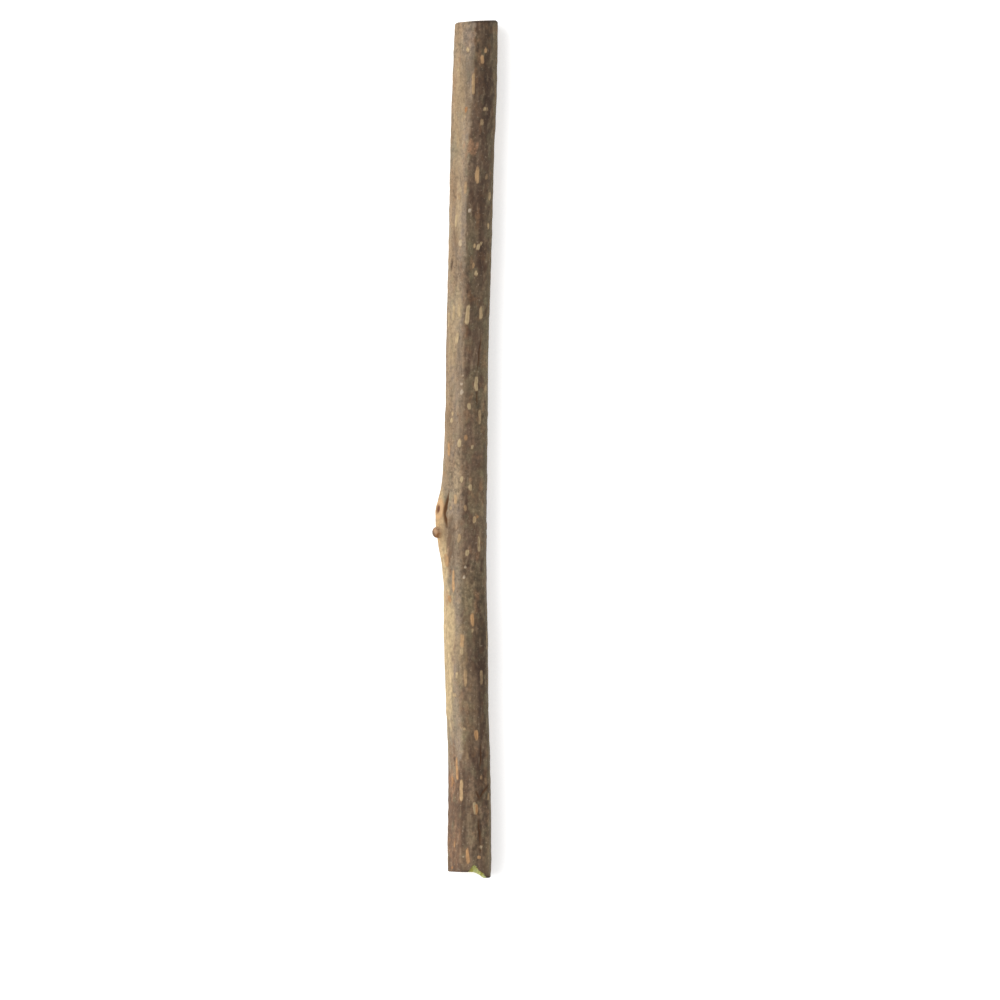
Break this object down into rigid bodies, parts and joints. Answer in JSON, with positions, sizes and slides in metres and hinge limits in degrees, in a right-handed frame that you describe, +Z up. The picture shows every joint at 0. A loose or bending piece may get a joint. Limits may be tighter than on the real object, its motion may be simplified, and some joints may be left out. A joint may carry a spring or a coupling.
{
  "type": "silvervine stick",
  "caption": "Short straight length of vine stem with its bark on, softly ridged, with long pores, a bud and leaf scar at a swelling on one side, and cut ends. Lies flat.",
  "frame": {"origin": "on the surface that the stick lies on, under the middle of its bounding box", "axes": "+Y along the stick towards its square cut end, +X to the side away from the bud, +Z up as it lies"},
  "size_m": [0.0092, 0.12, 0.0061],
  "materials": {
    "bark": "dull dry bark, grey-brown to olive, with tan pores"
  },
  "bodies": {
    "root": {"stick": "bark"}
  },
  "joints": []
}
